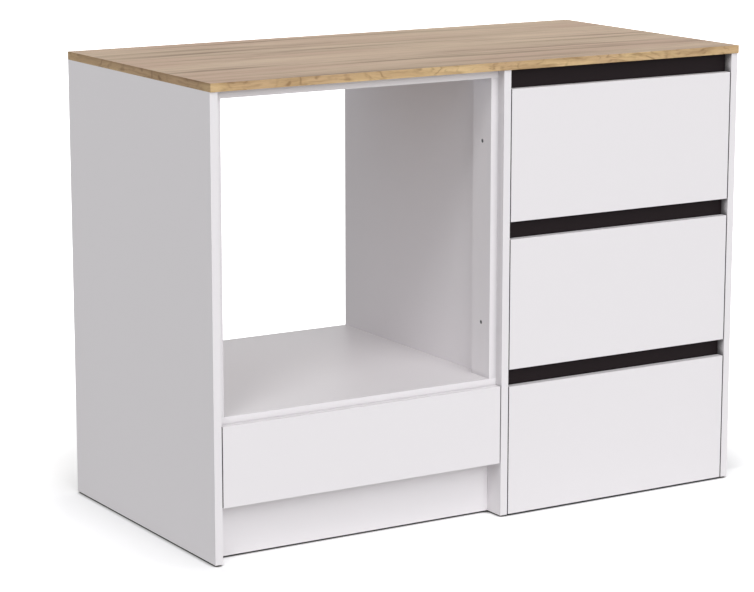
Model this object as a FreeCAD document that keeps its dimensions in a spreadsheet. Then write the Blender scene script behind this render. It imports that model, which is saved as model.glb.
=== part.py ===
"""Kitchen stand in white melamine board under an oak-look worktop.

On the left is an open-backed niche for a built-in oven or microwave, with one low drawer under it.
On the right is a bank of three equal drawers, opened at black recessed grip rails.
Millimetres, +Z up, X along the width, the fronts face -Y. The origin is on the floor, at the
middle of the width and of the worktop's depth.
"""
import FreeCAD, Part
import os
import re

import Sketcher

from FreeCAD import Rotation, Vector

os.makedirs("parts", exist_ok=True)
doc = FreeCAD.newDocument("KitchenStand")

# ---------------------------------------------------------------- driving dimensions
SIZES = {
    # overall
    "width": 1200, "depth": 600, "height": 900,
    "board": 16, "worktop_thick": 16, "worktop_overhang": 3, "edging": 1,
    "glide_rise": 3, "glide_wide": 12, "glide_long": 30, "glide_inset": 40, "glide_splay": 1.5,
    # how the width is shared, and how far the rails and shelf stand back from the panel edges
    "bank_clear": 534, "setback": 20,
    "rail_deep": 100, "batten_wide": 62, "low_screw_inset": 108, "high_screw_inset": 124.5,
    "hdf": 3, "hdf_inset": 12, "groove_deep": 5, "groove_play": 0.2,
    # drawer fronts and the gaps round them
    "front_thick": 16, "front_gap": 2.5, "finger_gap": 34.5, "worktop_gap": 37.5,
    "bank_front_low": 3.5, "grip_lap": 18,
    "niche_front_low": 110, "niche_front_tall": 155, "shelf_lap": 3,
    "plinth_setback": 46, "plinth_tall": 103,
    # drawer boxes: lift and drop are measured from the lower and upper edge of the front
    "box_wall": 12, "box_rear_clear": 56, "bottom_rise": 12, "bottom_seat": 5,
    "bank_box_lift": 30, "bank_box_drop": 58, "niche_box_lift": 8, "niche_box_drop": 27,
    # telescopic runners, three rolled steel members in each
    "runner_thick": 12.7, "runner_tall": 45, "runner_rise": 20, "runner_inset": 4, "runner_tail": 6,
    "steel": 1.2, "bend": 1.5, "kick_bend": 0.75, "running_gap": 0.4, "hook_gap": 0.6, "web_gap": 1.4,
    "cabinet_lip": 4, "lip_step": 0.6, "inner_race": 2.8,
    # fasteners
    "joint_inset": 50, "fit_play": 0.1,
    "cam_across": 15, "cam_tall": 12.5, "cam_reach": 34, "bolt_across": 7, "bolt_in_panel": 11,
    "dowel_across": 8, "dowel_in_panel": 12, "dowel_in_board": 18,
    "screw_across": 4, "screw_head": 9, "screw_in_panel": 10,
    "block_size": 18, "block_toe": 6, "block_long": 34,
}
sheet = doc.addObject("Spreadsheet::Sheet", "Sizes")
for row, (alias, value) in enumerate(SIZES.items(), start=1):
    sheet.set(f"A{row}", alias.replace("_", " "))
    sheet.set(f"B{row}", str(value))
    sheet.setAlias(f"B{row}", alias)

# Planes, heights and spans that several pieces share, each a formula in the sizes above.
PLACES = {
    "front_plane": "-depth/2 + worktop_overhang",
    "inset_face": "front_plane + setback",
    "panel_back": "depth/2",
    "hdf_face": "panel_back - hdf_inset - hdf",
    "panel_low": "glide_rise",
    "panel_top": "height - worktop_thick",
    "left_in": "-width/2 + board",
    "right_in": "width/2 - board",
    "divider_right": "right_in - bank_clear",
    "divider_left": "divider_right - board",
    "niche_clear": "divider_left - left_in",
    "shelf_low": "niche_front_low + niche_front_tall - shelf_lap",
    "shelf_top": "shelf_low + board",
    "rail_low": "panel_top - board",
    "plinth_face": "front_plane + plinth_setback",
    "plinth_back": "plinth_face + board",
    "niche_floor_low": "panel_low + plinth_tall - board",
    "bank_front_tall": "(panel_top - worktop_gap - bank_front_low - 2*finger_gap)/3",
    "box_face": "front_plane + front_thick",
    "box_long": "hdf_face - box_rear_clear - box_face",
    "runner_long": "box_long - runner_inset - runner_tail",
    "runner_back": "box_face + runner_inset + runner_long",
    # inside a runner, measured from the cabinet's panel and from the runner's lower edge
    "telescope_reach": "runner_thick - steel - running_gap",
    "cabinet_reach": "telescope_reach - lip_step",
    "telescope_web": "steel + web_gap",
    "kick_low": "steel + running_gap",
    "kick_reach": "telescope_web + web_gap",
    "flange_low": "cabinet_lip + running_gap",
    "hook_low": "flange_low + steel + running_gap",
    "race_low": "flange_low + steel + inner_race",
    "telescope_lip": "race_low - running_gap",
}


def ex(formula):
    """Spell a formula of plain names out for the expression engine."""
    def spell(match):
        word = match.group(0)
        return f"Sizes.{word}" if word in SIZES else f"({ex(PLACES[word])})"
    return re.sub(r"[a-z][a-z_]*", spell, formula)


def bind(thing, **formulas):
    """Tie properties of one object to formulas; a double underscore stands for a dot."""
    for name, formula in formulas.items():
        thing.setExpression(name.replace("__", "."), ex(str(formula)))
    return thing


def put(thing, place):
    """Tie an object's position to three formulas."""
    return bind(thing, **{f"Placement__Base__{axis}": f for axis, f in zip("xyz", place)})


# ---------------------------------------------------------------- sketches and features
def sketch_on(body, role, lift="0"):
    """A sketch on one of the body's own origin planes, lifted along that plane's normal."""
    plane = next(p for p in body.Origin.OriginFeatures if p.Role == role)
    sketch = body.newObject("Sketcher::SketchObject", "Sketch")
    sketch.AttachmentSupport = [(plane, "")]
    sketch.MapMode = "FlatFace"
    return bind(sketch, AttachmentOffset__Base__z=lift)


def pin_point(sketch, geometry, point, place):
    """Hold one point of a sketch at two formulas, measured from the sketch's origin."""
    for kind, axis, formula in (("DistanceX", -2, place[0]), ("DistanceY", -1, place[1])):
        if formula == "0":
            sketch.addConstraint(Sketcher.Constraint("PointOnObject", geometry, point, axis))
            continue
        index = sketch.addConstraint(Sketcher.Constraint(kind, -1, 1, geometry, point, 1.0))
        sketch.setExpression(f"Constraints[{index}]", ex(formula))


def outline(sketch, points):
    """Close a loop of straight edges through points, each a pair of formulas."""
    count = len(points)
    start = sketch.GeometryCount
    for step in range(count):
        here, there = Vector(step, step * step, 0), Vector(step + 1, (step + 1) ** 2, 0)
        if step == count - 1:
            there = Vector(0, 0, 0)
        sketch.addGeometry(Part.LineSegment(here, there))
    for step in range(count):
        following = start + (step + 1) % count
        sketch.addConstraint(Sketcher.Constraint("Coincident", start + step, 2, following, 1))
    for step, place in enumerate(points):
        pin_point(sketch, start + step, 1, place)
    return sketch


def rectangle(low, high):
    """The four corners between two opposite ones."""
    return [low, (high[0], low[1]), high, (low[0], high[1])]


def circles(sketch, centres, across):
    """One circle of the same diameter at each centre."""
    for centre in centres:
        index = sketch.addGeometry(Part.Circle(Vector(1, 1, 0), Vector(0, 0, 1), 1))
        pin_point(sketch, index, 3, centre)
        size = sketch.addConstraint(Sketcher.Constraint("Diameter", index, 2.0))
        sketch.setExpression(f"Constraints[{size}]", ex(across))
    return sketch


def pad(body, sketch, length, flip=False):
    """Raise a sketch into the body's solid; flip sends it against the sketch's normal."""
    feature = body.newObject("PartDesign::Pad", "Pad")
    feature.Profile = sketch
    feature.Reversed = flip
    return bind(feature, Length=length)


def pocket(body, sketch, depth, flip=False):
    """Cut a sketch into the body against the sketch's normal, or along it with flip."""
    feature = body.newObject("PartDesign::Pocket", "Pocket")
    feature.Profile = sketch
    feature.Reversed = flip
    return bind(feature, Length=depth)


def new_body(label, place):
    """An empty body whose corner stands at place."""
    body = doc.addObject("PartDesign::Body", "Body")
    body.Label = label
    return put(body, place)


def board(label, low, span):
    """A flat board: low is its lowest corner, span its size along X, Y and Z."""
    body = new_body(label, low)
    pad(body, outline(sketch_on(body, "XY_Plane"), rectangle(("0", "0"), span[:2])), span[2])
    return body


def end_bores(body, wide, centres, across, depth):
    """Blind bores along X into both ends of a board; each centre is a pair of Y and Z."""
    pocket(body, circles(sketch_on(body, "YZ_Plane"), centres, across), depth, flip=True)
    pocket(body, circles(sketch_on(body, "YZ_Plane", wide), centres, across), depth)


def group(label, pieces):
    """One named sub-part made of like pieces that stay separate solids."""
    compound = doc.addObject("Part::Compound", "Group")
    compound.Label = label
    compound.Links = pieces
    return compound


def rod(across, long, place, turn=Rotation()):
    """A plain round bar from place, along Z unless it is turned."""
    bar = bind(doc.addObject("Part::Cylinder", "Rod"), Radius=f"({across})/2", Height=long)
    bar.Placement.Rotation = turn
    return put(bar, place)


ALONG_X = Rotation(Vector(0, 1, 0), 90)
nodes = []

# ---------------------------------------------------------------- joints between boards
# Boards that carry weight end against two upright panels. Each end is drawn in by a cam at the
# front and steadied by a dowel at the rear.
BAYS = {"niche": ("left_in", "niche_clear"), "bank": ("divider_right", "bank_clear")}
fittings = {"cams": [], "bolts": [], "dowels": []}
panel_bores = {("niche", "low"): [], ("niche", "high"): [], ("bank", "low"): [], ("bank", "high"): []}


def across_bay(label, bay, low, span):
    """A board that spans one bay from panel to panel. low and span leave out X."""
    left, wide = BAYS[bay]
    return board(label, (left, *low), (wide, *span))


def carrying_board(label, bay, low, deep):
    """A horizontal board with its cam and dowel fixings. low is its front lower edge (Y, Z)."""
    left, wide = BAYS[bay]
    body = across_bay(label, bay, low, (deep, "board"))
    cam_row, dowel_row = "joint_inset", f"{deep} - joint_inset"
    end_bores(body, wide, [(cam_row, "board/2")], "bolt_across", "cam_reach")
    end_bores(body, wide, [(dowel_row, "board/2")], "dowel_across", "dowel_in_board")
    spots = [("cam_reach", cam_row), (f"{wide} - cam_reach", cam_row)]
    pocket(body, circles(sketch_on(body, "XY_Plane"), spots, "cam_across"), "cam_tall", flip=True)
    middle = f"{low[1]} + board/2"
    for side, end in (("low", left), ("high", f"{left} + {wide}")):
        add_cam(side, end, f"{low[0]} + {cam_row}", middle, low[1])
        add_dowel(side, end, f"{low[0]} + {dowel_row}", middle)
        panel_bores[bay, side].append((f"{low[0]} + {cam_row}", middle, "cam"))
        panel_bores[bay, side].append((f"{low[0]} + {dowel_row}", middle, "dowel"))
    return body


def add_cam(side, end, y, z, underside):
    """A cam in the board's underside and the bolt that it draws out of the panel at X = end."""
    cam_x = f"{end} + cam_reach" if side == "low" else f"{end} - cam_reach"
    fittings["cams"].append(rod("cam_across - 2*fit_play", "cam_tall - fit_play", (cam_x, y, underside)))
    start = "bolt_in_panel - fit_play" if side == "low" else "cam_reach - cam_across/2"
    fittings["bolts"].append(rod("bolt_across - 2*fit_play",
                                 "bolt_in_panel + cam_reach - cam_across/2 - fit_play",
                                 (f"{end} - ({start})", y, z), ALONG_X))


def add_dowel(side, end, y, z):
    """A wooden dowel, part in the panel at X = end and part in the board."""
    start = "dowel_in_panel - fit_play" if side == "low" else "dowel_in_board - fit_play"
    fittings["dowels"].append(rod("dowel_across - 2*fit_play",
                                  "dowel_in_panel + dowel_in_board - 2*fit_play",
                                  (f"{end} - ({start})", y, z), ALONG_X))


# ---------------------------------------------------------------- shelves, floors and rails
nodes.append(carrying_board("niche_shelf", "niche", ("inset_face", "shelf_low"),
                            "(panel_back - inset_face)"))
nodes.append(carrying_board("niche_floor", "niche", ("plinth_back", "niche_floor_low"),
                            "(hdf_face - plinth_back)"))
nodes.append(carrying_board("bank_floor", "bank", ("inset_face", "panel_low"),
                            "(hdf_face - inset_face)"))
nodes.append(across_bay("plinth", "niche", ("plinth_face", "panel_low"), ("board", "plinth_tall")))
nodes.append(across_bay("niche_front_rail", "niche", ("inset_face", "rail_low"), ("rail_deep", "board")))
REAR_RAILS = {"niche": "panel_back - rail_deep", "bank": "hdf_face - rail_deep"}
for bay, front in REAR_RAILS.items():
    nodes.append(across_bay(f"{bay}_rear_rail", bay, (front, "rail_low"), ("rail_deep", "board")))

# Black rails stand on edge behind each finger gap and reach a little behind the fronts.
GRIP_RAILS = {
    "bottom": ("bank_front_low + bank_front_tall - grip_lap", "finger_gap + 2*grip_lap"),
    "centre": ("bank_front_low + 2*bank_front_tall + finger_gap - grip_lap",
               "finger_gap + 2*grip_lap"),
    "top": ("panel_top - worktop_gap - grip_lap", "worktop_gap + grip_lap"),
}
for name, (low, tall) in GRIP_RAILS.items():
    nodes.append(across_bay(f"{name}_grip_rail", "bank", ("inset_face", low), ("board", tall)))

# ---------------------------------------------------------------- corner blocks
UPRIGHT = Rotation(Vector(1, 0, 0), 90)


def corner_block(face, side, place, upright=False):
    """A moulded block in the corner of a panel and a board, sloped on its free side.

    It lies under the board with its length along Y, or stands behind it along Z if upright.
    place is (Y, Z) of the middle of its edge in the corner.
    """
    y, z = place
    if upright:
        body = new_body("corner_block", (face, f"{y} + block_size", f"{z} + block_long/2"))
        body.Placement.Rotation = UPRIGHT
    else:
        body = new_body("corner_block", (face, f"{y} + block_long/2", f"{z} - block_size"))
    sign = "" if side == "low" else "-"
    profile = [("0", "0"), (f"{sign}block_toe", "0"), (f"{sign}block_size", "block_size - block_toe"),
               (f"{sign}block_size", "block_size"), ("0", "block_size")]
    pad(body, outline(sketch_on(body, "XZ_Plane"), profile), "block_long")
    return body


def blocks_in(bay, place, upright=False):
    """A corner block at each end of one bay."""
    left, wide = BAYS[bay]
    return [corner_block(left, "low", place, upright),
            corner_block(f"{left} + {wide}", "high", place, upright)]


blocks = blocks_in("niche", ("plinth_back", "panel_low + plinth_tall/2 - board/2"), upright=True)
for bay, front in REAR_RAILS.items():
    blocks += blocks_in(bay, (f"{front} + rail_deep/2", "rail_low"))
for low, tall in GRIP_RAILS.values():
    blocks += blocks_in("bank", ("inset_face + board", f"{low} + ({tall})/2"), upright=True)
nodes.append(group("rail_blocks", blocks))
WORKTOP_BLOCK = ("inset_face + rail_deep + block_long", "panel_top")
nodes.append(group("worktop_blocks",
                   blocks_in("niche", WORKTOP_BLOCK) + blocks_in("bank", WORKTOP_BLOCK)))

# ---------------------------------------------------------------- upright panels
BORE_SIZES = {"cam": ("bolt_across", "bolt_in_panel"), "dowel": ("dowel_across", "dowel_in_panel")}
BATTEN_TALL = "rail_low - shelf_top"
BATTEN_SCREWS = [("inset_face + batten_wide/2", "shelf_top + low_screw_inset"),
                 ("inset_face + batten_wide/2", "rail_low - high_screw_inset")]


def bore_panel(body, bay, side, screws):
    """Blind bores in the face of a panel that closes one side of a bay."""
    lift, flip = ("0", True) if side == "high" else ("board", False)
    batches = [(BORE_SIZES[kind], [(y, z) for y, z, k in panel_bores[bay, side] if k == kind])
               for kind in BORE_SIZES]
    batches.append((("screw_across", "screw_in_panel"), screws))
    for (across, depth), centres in batches:
        if centres:
            local = [(f"{y} - front_plane", f"{z} - panel_low") for y, z in centres]
            pocket(body, circles(sketch_on(body, "YZ_Plane", lift), local, across), depth, flip)


def hdf_groove(body, side, low, high):
    """An upright groove in a panel for the edge of a thin back, between two heights."""
    lift, flip = ("0", True) if side == "high" else ("board", False)
    near = "hdf_face - front_plane - groove_play/2"
    corners = rectangle((near, f"{low} - panel_low"),
                        (f"{near} + hdf + groove_play", f"{high} - panel_low"))
    pocket(body, outline(sketch_on(body, "YZ_Plane", lift), corners), "groove_deep", flip)


def panel(label, left):
    """One of the three upright panels that carry everything."""
    return board(label, (left, "front_plane", "panel_low"),
                 ("board", "panel_back - front_plane", "panel_top - panel_low"))


left_panel = panel("left_panel", "-width/2")
bore_panel(left_panel, "niche", "low", BATTEN_SCREWS)
hdf_groove(left_panel, "low", "niche_floor_low", "shelf_low")

divider_panel = panel("divider_panel", "divider_left")
bore_panel(divider_panel, "niche", "high", BATTEN_SCREWS)
bore_panel(divider_panel, "bank", "low", [])
hdf_groove(divider_panel, "high", "niche_floor_low", "shelf_low")
hdf_groove(divider_panel, "low", "panel_low", "panel_top")

right_panel = panel("right_panel", "right_in")
bore_panel(right_panel, "bank", "high", [])
hdf_groove(right_panel, "high", "panel_low", "panel_top")
nodes += [left_panel, divider_panel, right_panel]


def thin_back(label, bay, low, high):
    """A thin hardboard back that stands in the grooves of the panels beside it."""
    left, wide = BAYS[bay]
    seat = "groove_deep - fit_play"
    return board(label, (f"{left} - ({seat})", "hdf_face", low),
                 (f"{wide} + 2*({seat})", "hdf", f"{high} - ({low})"))


nodes.append(thin_back("bank_back", "bank", "panel_low", "panel_top"))
nodes.append(thin_back("niche_drawer_bay_back", "niche", "niche_floor_low", "shelf_low"))

# ---------------------------------------------------------------- worktop and its fixings
nodes.append(board(
    "worktop", ("-width/2 + edging", "-depth/2 + edging", "panel_top"),
    ("width - 2*edging", "depth - edging", "worktop_thick")))
EDGE_STRIPS = [
    (("-width/2", "-depth/2", "panel_top"), ("width", "edging", "worktop_thick")),
    (("-width/2", "-depth/2 + edging", "panel_top"), ("edging", "depth - edging", "worktop_thick")),
    (("width/2 - edging", "-depth/2 + edging", "panel_top"),
     ("edging", "depth - edging", "worktop_thick")),
]
nodes.append(group("worktop_edging", [board("edge_strip", *strip) for strip in EDGE_STRIPS]))


# ---------------------------------------------------------------- niche battens
def rims_at(solid, level):
    """Names of a shape's circular edges whose plane is X = level."""
    return [f"Edge{number}" for number, edge in enumerate(solid.Edges, start=1)
            if hasattr(edge.Curve, "Radius") and abs(edge.Curve.Center.x - level) < 1e-6]


def batten(label, left, free_face):
    """An upright strip that narrows the niche to an appliance's body and takes its side screws."""
    body = board(label, (left, "inset_face", "shelf_top"), ("board", "batten_wide", BATTEN_TALL))
    centres = [(f"{y} - inset_face", f"{z} - shelf_top") for y, z in BATTEN_SCREWS]
    drilled = pocket(body, circles(sketch_on(body, "YZ_Plane"), centres, "screw_across"), "board", True)
    doc.recompute()
    rims = rims_at(drilled.Shape, free_face)
    sink = body.newObject("PartDesign::Chamfer", "Countersink")
    sink.Base = (drilled, rims)
    bind(sink, Size="(screw_head - screw_across)/2")
    return body


nodes.append(batten("niche_batten_left", "left_in", SIZES["board"]))
nodes.append(batten("niche_batten_right", "divider_left - board", 0))

nodes.append(group("cam_locks", fittings["cams"]))
nodes.append(group("cam_bolts", fittings["bolts"]))
nodes.append(group("dowels", fittings["dowels"]))


def batten_screw(side, y, z):
    """A countersunk screw, head flush with the batten's free face, driven into the wall panel."""
    face = "left_in + board" if side == "low" else "divider_left - board"
    body = new_body("screw", (face, y, z))
    body.Placement.Rotation = Rotation(Vector(0, 0, 1), 180 if side == "low" else 0)
    shank, head = "screw_across/2 - fit_play", "screw_head/2 - fit_play"
    long = "board + screw_in_panel - fit_play"
    profile = [("0", "0"), ("0", head), (f"{head} - ({shank})", shank), (long, shank), (long, "0")]
    turned = body.newObject("PartDesign::Revolution", "Revolution")
    sketch = outline(sketch_on(body, "XY_Plane"), profile)
    turned.Profile = sketch
    turned.ReferenceAxis = (sketch, ["H_Axis"])
    return body


nodes.append(group("batten_screws", [batten_screw(side, y, z) for side in ("low", "high")
                                     for y, z in BATTEN_SCREWS]))


def glide(left, middle):
    """A plastic glide nailed under the lower edge of a panel, its lower edges splayed in."""
    body = new_body("glide", (f"{left} + board/2 - glide_wide/2", f"{middle} + glide_long/2", "0"))
    profile = [("glide_splay", "0"), ("glide_wide - glide_splay", "0"),
               ("glide_wide", "glide_rise"), ("0", "glide_rise")]
    pad(body, outline(sketch_on(body, "XZ_Plane"), profile), "glide_long")
    return body


nodes.append(group("glides", [glide(left, middle)
                              for left in ("-width/2", "divider_left", "right_in")
                              for middle in ("front_plane + glide_inset", "panel_back - glide_inset")]))

# ---------------------------------------------------------------- telescopic runners
# How far from the inner face of the strip the inner side of a 45 degree bend starts.
CORNER = "(bend - (2 - 2^0.5)*steel)"
# How far the inner side of the telescope's sloped race stands out sideways from its height.
SLOPE = "(kick_reach - kick_low - 2^0.5*steel)"
HOOK_END = f"(hook_low + {SLOPE} - hook_gap)"

# Each member is rolled from one strip and is the same above and below its middle. The first
# list runs round the lower half's outer side, and the second back along its inner side.
MEMBERS = {
    "cabinet": (
        [("cabinet_reach", "cabinet_lip"), ("cabinet_reach", "bend"),
         ("cabinet_reach - bend", "0"), ("bend", "0"), ("0", "bend")],
        [("steel", f"steel + {CORNER}"), (f"steel + {CORNER}", "steel"),
         (f"cabinet_reach - steel - {CORNER}", "steel"),
         ("cabinet_reach - steel", f"steel + {CORNER}"), ("cabinet_reach - steel", "cabinet_lip")]),
    "telescope": (
        [("telescope_reach", "telescope_lip"), ("telescope_reach", "flange_low + bend"),
         ("telescope_reach - bend", "flange_low"),
         ("kick_reach + flange_low - kick_low", "flange_low"), ("kick_reach", "kick_low"),
         ("telescope_web + kick_bend", "kick_low"), ("telescope_web", "kick_low + kick_bend")],
        [("telescope_web + steel", f"telescope_web + steel - {SLOPE}"),
         (f"flange_low + steel + {SLOPE}", "flange_low + steel"),
         (f"telescope_reach - steel - {CORNER}", "flange_low + steel"),
         ("telescope_reach - steel", f"flange_low + steel + {CORNER}"),
         ("telescope_reach - steel", "telescope_lip")]),
    "drawer": (
        [(f"{HOOK_END} - steel", "hook_low"), (HOOK_END, "hook_low"), (HOOK_END, "race_low"),
         ("runner_thick - bend", "race_low"), ("runner_thick", "race_low + bend")],
        [("runner_thick - steel", f"race_low + steel + {CORNER}"),
         (f"runner_thick - steel - {CORNER}", "race_low + steel"),
         (f"{HOOK_END} - steel", "race_low + steel")]),
}
HALF_TURN = Rotation(Vector(0, 1, 0), 180)


def member(kind, wall, low, turned):
    """One rolled member of a runner; turned stands it against the panel on the +X side."""
    body = new_body("member", (wall, "runner_back", f"{low} + runner_tall" if turned else low))
    if turned:
        body.Placement.Rotation = HALF_TURN
    outer, inner = MEMBERS[kind]
    upper = [[(u, f"runner_tall - ({v})") for u, v in reversed(side)] for side in (outer, inner)]
    pad(body, outline(sketch_on(body, "XZ_Plane"), outer + upper[0] + upper[1] + inner), "runner_long")
    return body


# ---------------------------------------------------------------- drawers
# name: bay, lower edge and height of the front, lift and drop of the box inside it
PITCH = "(bank_front_tall + finger_gap)"
DRAWERS = {
    "top": ("bank", f"bank_front_low + 2*{PITCH}", "bank_front_tall", "bank_box_lift", "bank_box_drop"),
    "centre": ("bank", f"bank_front_low + {PITCH}", "bank_front_tall", "bank_box_lift", "bank_box_drop"),
    "bottom": ("bank", "bank_front_low", "bank_front_tall", "bank_box_lift", "bank_box_drop"),
    "niche": ("niche", "niche_front_low", "niche_front_tall", "niche_box_lift", "niche_box_drop"),
}
GROOVE_LOW, GROOVE_HIGH = "bottom_rise - groove_play/2", "bottom_rise + hdf + groove_play/2"
BOX_INSIDE = "runner_thick + box_wall"          # from a panel to the inside of the box
BOTTOM_REACH = "(bottom_seat - fit_play)"


def drawer_front(label, left, wide, low, tall, lift):
    """The flush front, grooved across its back for the box's bottom."""
    body = board(label, (f"{left} + front_gap", "front_plane", low),
                 (f"{wide} - 2*front_gap", "front_thick", tall))
    near = f"{BOX_INSIDE} - bottom_seat - front_gap"
    corners = rectangle((near, f"{lift} + {GROOVE_LOW}"),
                        (f"{wide} - 2*front_gap - ({near})", f"{lift} + {GROOVE_HIGH}"))
    pocket(body, outline(sketch_on(body, "XZ_Plane", "-front_thick"), corners), "bottom_seat", True)
    return body


def box_side(label, left, low, tall, lift_plane, flip):
    """One side of the box, grooved along its inner face for the bottom."""
    body = board(label, (left, "box_face", low), ("box_wall", "box_long", tall))
    corners = rectangle(("0", GROOVE_LOW), ("box_long", GROOVE_HIGH))
    pocket(body, outline(sketch_on(body, "YZ_Plane", lift_plane), corners), "bottom_seat", flip)
    return body


for name, (bay, front_low, front_tall, lift, drop) in DRAWERS.items():
    left, wide = BAYS[bay]
    low, tall = f"{front_low} + {lift}", f"{front_tall} - {lift} - {drop}"
    inner_wide = f"{wide} - 2*({BOX_INSIDE})"
    nodes.append(drawer_front(f"{name}_drawer_front", left, wide, front_low, front_tall, lift))
    nodes.append(box_side(f"{name}_drawer_left_side", f"{left} + runner_thick", low, tall,
                          "box_wall", False))
    nodes.append(box_side(f"{name}_drawer_right_side", f"{left} + {wide} - ({BOX_INSIDE})", low, tall,
                          "0", True))
    nodes.append(board(
        f"{name}_drawer_back",
        (f"{left} + {BOX_INSIDE}", "box_face + box_long - box_wall", f"{low} + bottom_rise + hdf"),
        (inner_wide, "box_wall", f"{tall} - bottom_rise - hdf")))
    nodes.append(board(
        f"{name}_drawer_bottom",
        (f"{left} + {BOX_INSIDE} - {BOTTOM_REACH}", f"box_face - {BOTTOM_REACH}", f"{low} + bottom_rise"),
        (f"{inner_wide} + 2*{BOTTOM_REACH}", f"box_long + {BOTTOM_REACH}", "hdf")))
    for kind in MEMBERS:
        runner_low = f"{low} + runner_rise"
        nodes.append(group(f"{name}_{kind}_runners", [
            member(kind, left, runner_low, False),
            member(kind, f"{left} + {wide}", runner_low, True)]))

# ---------------------------------------------------------------- checks and export
doc.recompute()
for thing in doc.Objects:
    if "Invalid" in thing.State or "Error" in thing.State:
        raise RuntimeError(f"{thing.Name} ({thing.Label}) failed: {thing.State}")
    if thing.TypeId == "PartDesign::Pocket":
        if thing.Shape.Volume >= thing.BaseFeature.Shape.Volume - 1e-6:
            raise RuntimeError(f"{thing.Name} cuts nothing")
for node in nodes:
    if node.Shape.isNull() or not node.Shape.isValid():
        raise RuntimeError(f"{node.Label} has no valid shape")
    node.Shape.exportStep(f"parts/{node.Label}.step")
    box = node.Shape.BoundBox
    print(f"{node.Label:28s} solids {len(node.Shape.Solids):2d}  volume {node.Shape.Volume / 1000:9.1f} cm3"
          f"  x {box.XMin:7.1f} {box.XMax:7.1f}  y {box.YMin:7.1f} {box.YMax:7.1f}"
          f"  z {box.ZMin:6.1f} {box.ZMax:6.1f}")
print(len(nodes), "nodes")
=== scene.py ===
"""Finishes and small fittings of the kitchen stand, in the order in which it is put together.

Metres, +Z up. The drawer fronts face -Y.
"""

import math

import bpy
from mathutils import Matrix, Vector


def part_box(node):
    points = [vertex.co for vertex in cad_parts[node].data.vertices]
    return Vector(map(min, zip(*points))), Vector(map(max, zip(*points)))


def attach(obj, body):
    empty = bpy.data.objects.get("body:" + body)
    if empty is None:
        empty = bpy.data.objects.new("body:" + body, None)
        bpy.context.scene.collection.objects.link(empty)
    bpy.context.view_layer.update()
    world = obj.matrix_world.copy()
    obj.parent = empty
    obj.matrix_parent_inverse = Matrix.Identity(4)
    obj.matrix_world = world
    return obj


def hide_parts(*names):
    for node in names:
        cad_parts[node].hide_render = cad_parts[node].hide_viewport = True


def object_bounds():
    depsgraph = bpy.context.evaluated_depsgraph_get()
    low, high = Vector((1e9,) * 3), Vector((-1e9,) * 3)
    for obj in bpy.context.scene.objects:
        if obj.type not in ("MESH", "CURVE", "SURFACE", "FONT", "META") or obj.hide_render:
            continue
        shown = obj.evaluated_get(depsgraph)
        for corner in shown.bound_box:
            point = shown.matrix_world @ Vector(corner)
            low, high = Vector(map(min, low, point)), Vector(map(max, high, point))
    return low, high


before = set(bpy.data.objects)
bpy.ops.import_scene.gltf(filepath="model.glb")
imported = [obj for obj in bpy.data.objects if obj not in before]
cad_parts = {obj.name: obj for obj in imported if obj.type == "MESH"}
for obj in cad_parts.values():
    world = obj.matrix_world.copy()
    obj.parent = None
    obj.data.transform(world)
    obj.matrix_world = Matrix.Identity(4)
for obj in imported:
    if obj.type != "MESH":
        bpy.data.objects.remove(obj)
cad_low, cad_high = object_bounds()

# ------------------------------------------------------------------ upright panels
# Three panels of 16 mm particle board faced with white melamine. The front edges are banded in the
# same white, and the back and lower edges are left as sawn. Everything else is fixed to them.
BAND_ARRIS, GLUE_LINE = 0.0004, 0.001
WHITE_MELAMINE, MELAMINE_DULLNESS = (0.823, 0.799, 0.823, 1.0), 0.36
CLOUDED, GLUE = (0.875, 0.864, 0.802, 1.0), (0.42, 0.38, 0.44, 1.0)
SAWN_CHIP_PALE, SAWN_CHIP_DARK = (0.46, 0.33, 0.19, 1.0), (0.17, 0.10, 0.05, 1.0)
PAINTED_SHADE = (0.03, 0.027, 0.03, 1.0)


def add_node(tree, kind, inputs=None, **settings):
    """Add one shader node. Each input is a plain value or another node's output."""
    made = tree.nodes.new("ShaderNode" + kind)
    for name, value in settings.items():
        setattr(made, name, value)
    for name, value in (inputs or {}).items():
        if isinstance(value, bpy.types.NodeSocket):
            tree.links.new(value, made.inputs[name])
        else:
            made.inputs[name].default_value = value
    return made


def maths(tree, operation, first, second=0.0, clamp=False):
    """The output of one arithmetic node."""
    return add_node(tree, "Math", {0: first, 1: second}, operation=operation,
                    use_clamp=clamp).outputs[0]


def blend_colours(tree, share, low, high, mode="MIX"):
    """The output of a colour mix: low where share is 0 and high where it is 1."""
    return add_node(tree, "Mix", {0: share, 6: low, 7: high}, data_type="RGBA",
                    blend_type=mode).outputs[2]


def ramp(tree, value, low, high):
    """Spread value's stretch from low to high over 0 to 1, and clamp the rest."""
    return add_node(tree, "MapRange", {"Value": value, "From Min": low,
                                       "From Max": high}).outputs["Result"]


def stretched(tree, place, scale):
    """The place pulled out or squeezed along each axis."""
    return add_node(tree, "Mapping", {"Vector": place, "Scale": scale}).outputs["Vector"]


def noise(tree, place, scale, detail=2.0, roughness=0.5, distortion=0.0):
    """The value of a noise texture."""
    return add_node(tree, "TexNoise", {
        "Vector": place, "Scale": scale, "Detail": detail, "Roughness": roughness,
        "Distortion": distortion}).outputs["Fac"]


def start_effect(name, takes, gives):
    """An empty node group with its named inputs (with their first values) and outputs."""
    group = bpy.data.node_groups.new(name, "ShaderNodeTree")
    for label, kind, value in takes:
        socket = group.interface.new_socket(label, in_out="INPUT", socket_type="NodeSocket" + kind)
        socket.default_value = value
    for label, kind in gives:
        group.interface.new_socket(label, in_out="OUTPUT", socket_type="NodeSocket" + kind)
    taken = group.nodes.new("NodeGroupInput").outputs
    given = group.nodes.new("NodeGroupOutput").inputs
    return group, taken, given


def give(group, given, **results):
    """Join an effect's results to its outputs of the same names."""
    for label, result in results.items():
        group.links.new(result, given[label])


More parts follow.
